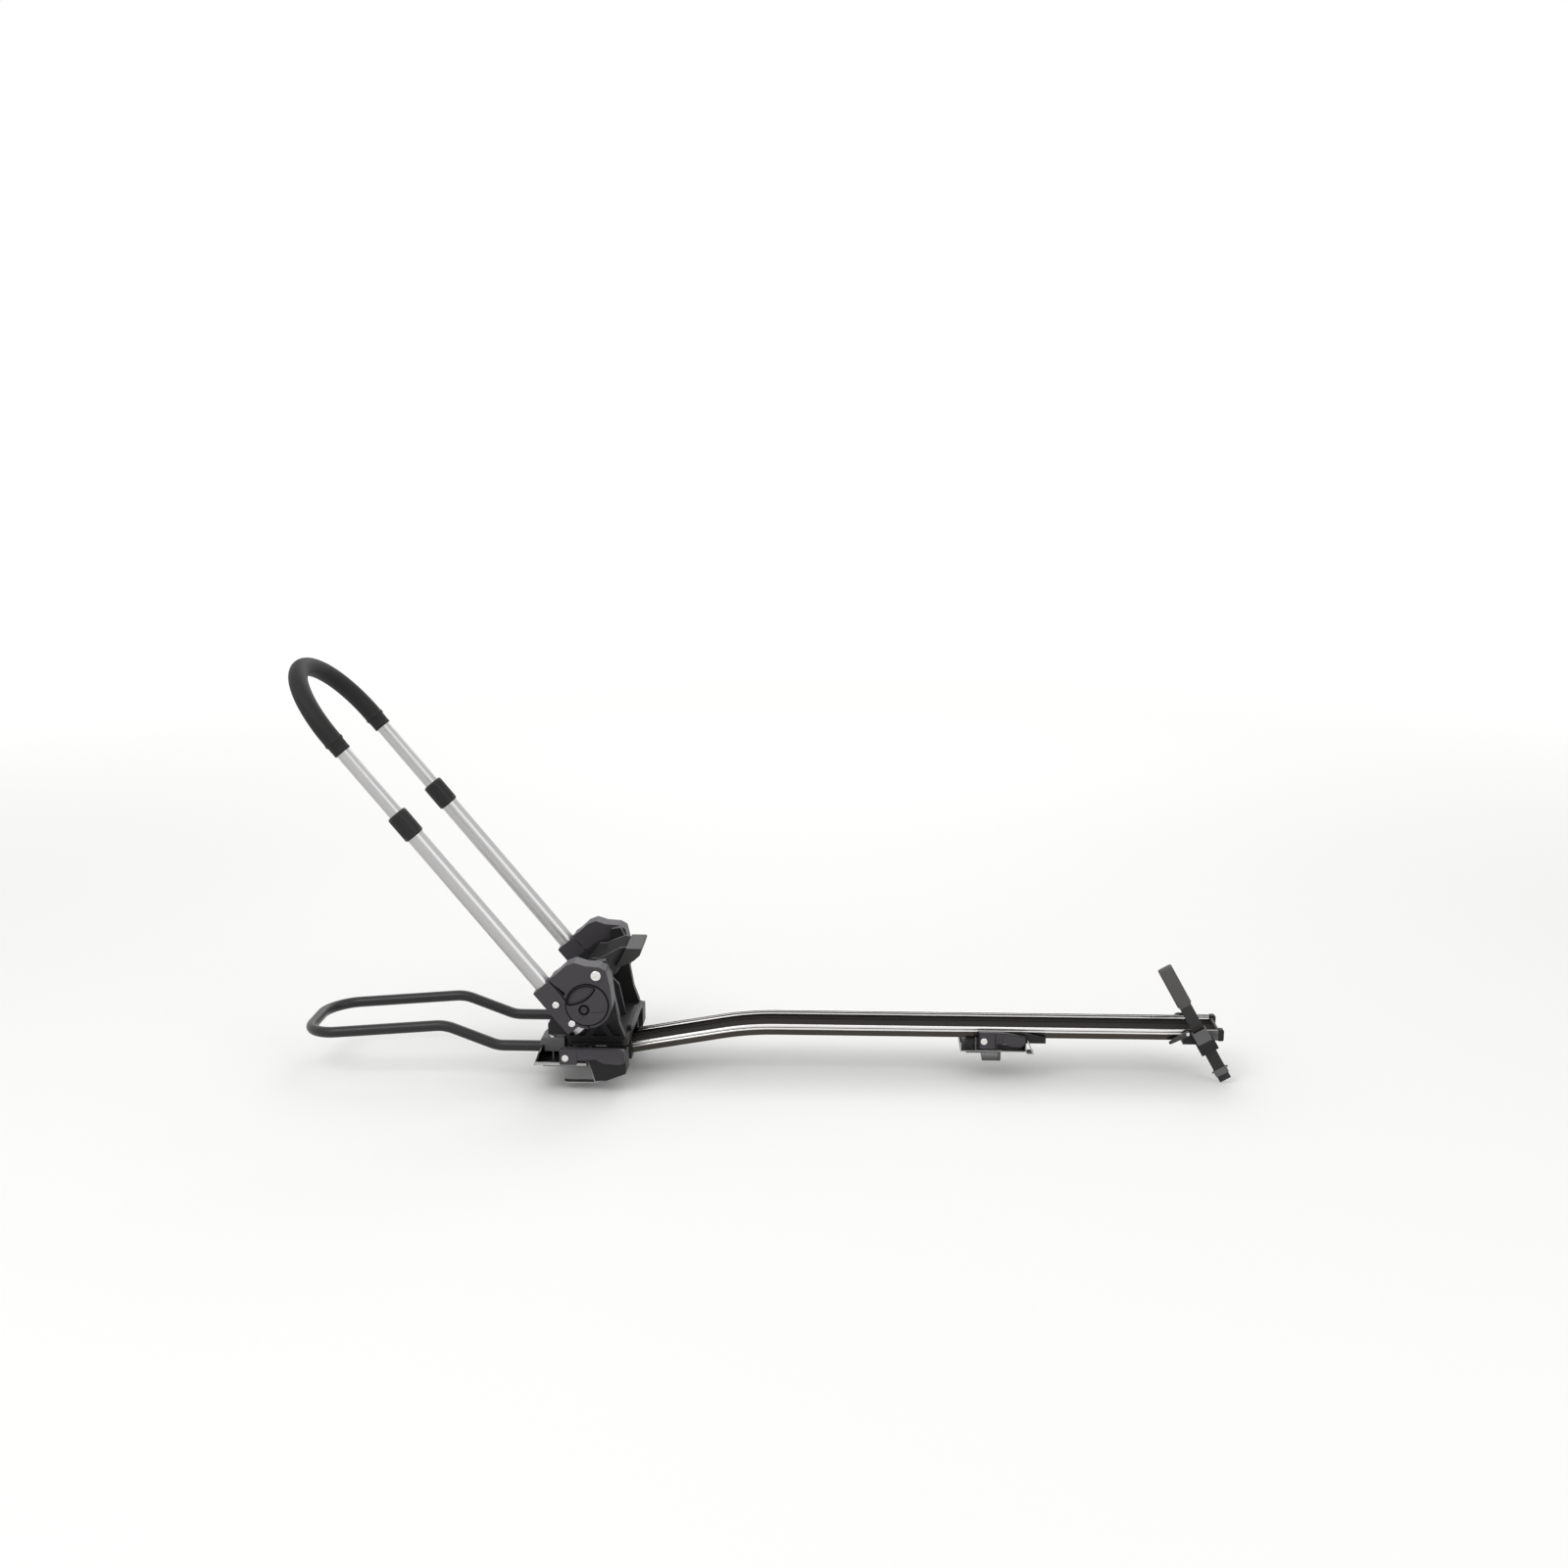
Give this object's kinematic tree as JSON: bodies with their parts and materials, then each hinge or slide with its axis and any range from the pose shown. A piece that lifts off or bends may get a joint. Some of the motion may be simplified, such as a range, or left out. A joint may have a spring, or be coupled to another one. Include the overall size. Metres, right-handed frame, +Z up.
{
  "type": "roof mounted bike carrier",
  "caption": "Roof carrier for a bicycle held by its wheels: telescopic arms with a padded hoop, cradle loop, wheel stop, sloping aluminium tray with ratchet strap and cam-lever bar clamps.",
  "frame": {"origin": "middle of the front bar seat, on the underside of its rubber pad", "axes": "+X towards the rear of the car along the tray, +Y to the far side away from the knob, +Z up"},
  "size_m": [1.6275, 0.325, 0.7264],
  "materials": {
    "anodised_tray": "dark bronze-black glossy anodised",
    "black_end_caps": "moulded, fine grain",
    "grey_plastic": "moulded, fine grain",
    "black_plastic": "glass-filled, fine grain",
    "charcoal_plastic": "textured",
    "collar_plastic": "satin",
    "black_steel": "satin black powder coat",
    "satin_aluminium": "satin silver anodised",
    "cover_rubber": "matt",
    "strap_rubber": "matt, fine teeth",
    "pad_rubber": "matt",
    "bright_steel": "bright zinc",
    "zinc_steel": "zinc plated",
    "friction_lining": "pressed fibre",
    "nylon": "natural nylon"
  },
  "bodies": {
    "carrier_base": {"tray": "anodised_tray", "tray_end_caps": "black_end_caps", "tray_end_plate": "grey_plastic", "tray_socket": "black_plastic", "tray_bolts": "bright_steel", "front_channel": "black_steel", "front_bar_pad": "pad_rubber", "deck": "black_plastic", "deck_bolts": "bright_steel", "near_side_casting": "black_plastic", "far_side_casting": "black_plastic", "pivot_hubs": "zinc_steel", "friction_discs": "friction_lining", "pivot_nuts": "bright_steel", "far_pivot_bolt": "bright_steel", "wheel_stop": "black_plastic", "stop_pad": "pad_rubber", "cradle_tube": "black_steel", "near_cradle_saddle": "grey_plastic", "far_cradle_saddle": "grey_plastic", "cradle_saddle_screws": "bright_steel"},
    "arms": {"near_arm_head": "charcoal_plastic", "far_arm_head": "charcoal_plastic", "near_head_cover": "charcoal_plastic", "far_head_cover": "charcoal_plastic", "pivot_bushes": "nylon", "near_lower_tube": "satin_aluminium", "far_lower_tube": "satin_aluminium", "arm_socket_bolts": "bright_steel", "head_cover_bolts": "bright_steel", "thrust_washers": "zinc_steel", "wedge_rings": "nylon", "far_pivot_cap": "charcoal_plastic"},
    "near_collar": {"near_lock_collar": "collar_plastic"},
    "far_collar": {"far_lock_collar": "collar_plastic"},
    "hoop": {"hoop_tube": "satin_aluminium", "hoop_cover": "cover_rubber", "hoop_guide_plugs": "nylon"},
    "knob": {"clamp_knob": "charcoal_plastic", "knob_spindle": "bright_steel"},
    "lock": {"lock_barrel": "bright_steel"},
    "front_lever": {"front_clamp_lever": "charcoal_plastic", "front_cam_shaft": "zinc_steel", "front_lever_bolt": "bright_steel"},
    "near_claw": {"near_front_claw": "zinc_steel", "near_front_jaw": "black_plastic"},
    "far_claw": {"far_front_claw": "zinc_steel", "far_front_jaw": "black_plastic"},
    "rear_clamp": {"rear_channel": "black_steel", "rear_saddle": "black_plastic", "rear_bar_pad": "pad_rubber", "rear_lever_catch": "zinc_steel", "rear_lever_bolt": "bright_steel"},
    "rear_lever": {"rear_clamp_lever": "black_plastic"},
    "rear_claw_body": {"rear_claw": "zinc_steel"},
    "strap_slider": {"strap_base": "black_plastic", "wheel_strap": "strap_rubber", "buckle_body": "black_plastic", "strap_rivets": "bright_steel"},
    "buckle_lever_body": {"buckle_lever": "charcoal_plastic"}
  },
  "joints": [
    {"name": "arms_pivot", "type": "hinge", "parent": "carrier_base", "child": "arms", "pos_m": [0.037, 0, 0.112], "axis": [0, 1, 0], "range_deg": [-45, 125]},
    {"name": "hoop_slide", "type": "slide", "parent": "arms", "child": "hoop", "axis": [-0.632, 0, 0.7749], "range_m": [-0.13, 0.06]},
    {"name": "near_collar_twist", "type": "hinge", "parent": "arms", "child": "near_collar", "pos_m": [-0.2656, -0.133, 0.41815], "axis": [-0.632, 0, 0.7749], "range_deg": [0, 90]},
    {"name": "far_collar_twist", "type": "hinge", "parent": "arms", "child": "far_collar", "pos_m": [-0.2656, 0.133, 0.41815], "axis": [-0.632, 0, 0.7749], "range_deg": [0, 90]},
    {"name": "knob_turn", "type": "hinge", "parent": "arms", "child": "knob", "pos_m": [0.037, -0.15, 0.112], "axis": [0, -1, 0], "range_deg": [0, 270]},
    {"name": "lock_turn", "type": "hinge", "parent": "knob", "child": "lock", "pos_m": [0.032, -0.152, 0.104], "axis": [0, -1, 0], "range_deg": [0, 90]},
    {"name": "front_lever_turn", "type": "hinge", "parent": "carrier_base", "child": "front_lever", "pos_m": [0, -0.16, 0.0223], "axis": [0, -1, 0], "range_deg": [0, 100]},
    {"name": "near_claw_slide", "type": "slide", "parent": "carrier_base", "child": "near_claw", "axis": [1, 0, 0], "range_m": [0, 0.00766]},
    {"name": "far_claw_slide", "type": "slide", "parent": "carrier_base", "child": "far_claw", "axis": [1, 0, 0], "range_m": [0, 0.00766]},
    {"name": "rear_clamp_slide", "type": "slide", "parent": "carrier_base", "child": "rear_clamp", "axis": [1, 0, 0], "range_m": [-0.2, 0.15]},
    {"name": "rear_lever_turn", "type": "hinge", "parent": "rear_clamp", "child": "rear_lever", "pos_m": [0.715, -0.06, 0.0265], "axis": [0, -1, 0], "range_deg": [0, 100]},
    {"name": "rear_claw_slide", "type": "slide", "parent": "rear_clamp", "child": "rear_claw_body", "axis": [1, 0, 0], "range_m": [0, 0.00766]},
    {"name": "strap_slide", "type": "slide", "parent": "carrier_base", "child": "strap_slider", "axis": [1, 0, 0], "range_m": [-0.2, 0]},
    {"name": "buckle_lever_turn", "type": "hinge", "parent": "strap_slider", "child": "buckle_lever_body", "pos_m": [1.067, -0.052, 0.0415], "axis": [0, 1, 0], "range_deg": [0, 35], "stiffness_Nm_per_rad": 0.05, "springref_deg": -8.59}
  ],
  "couplings": [
    {"joint": "front_lever_turn", "follows": "near_claw_slide", "rad_per_m": 227.84},
    {"joint": "far_claw_slide", "follows": "near_claw_slide", "ratio": 1},
    {"joint": "rear_lever_turn", "follows": "rear_claw_slide", "rad_per_m": 227.84}
  ]
}
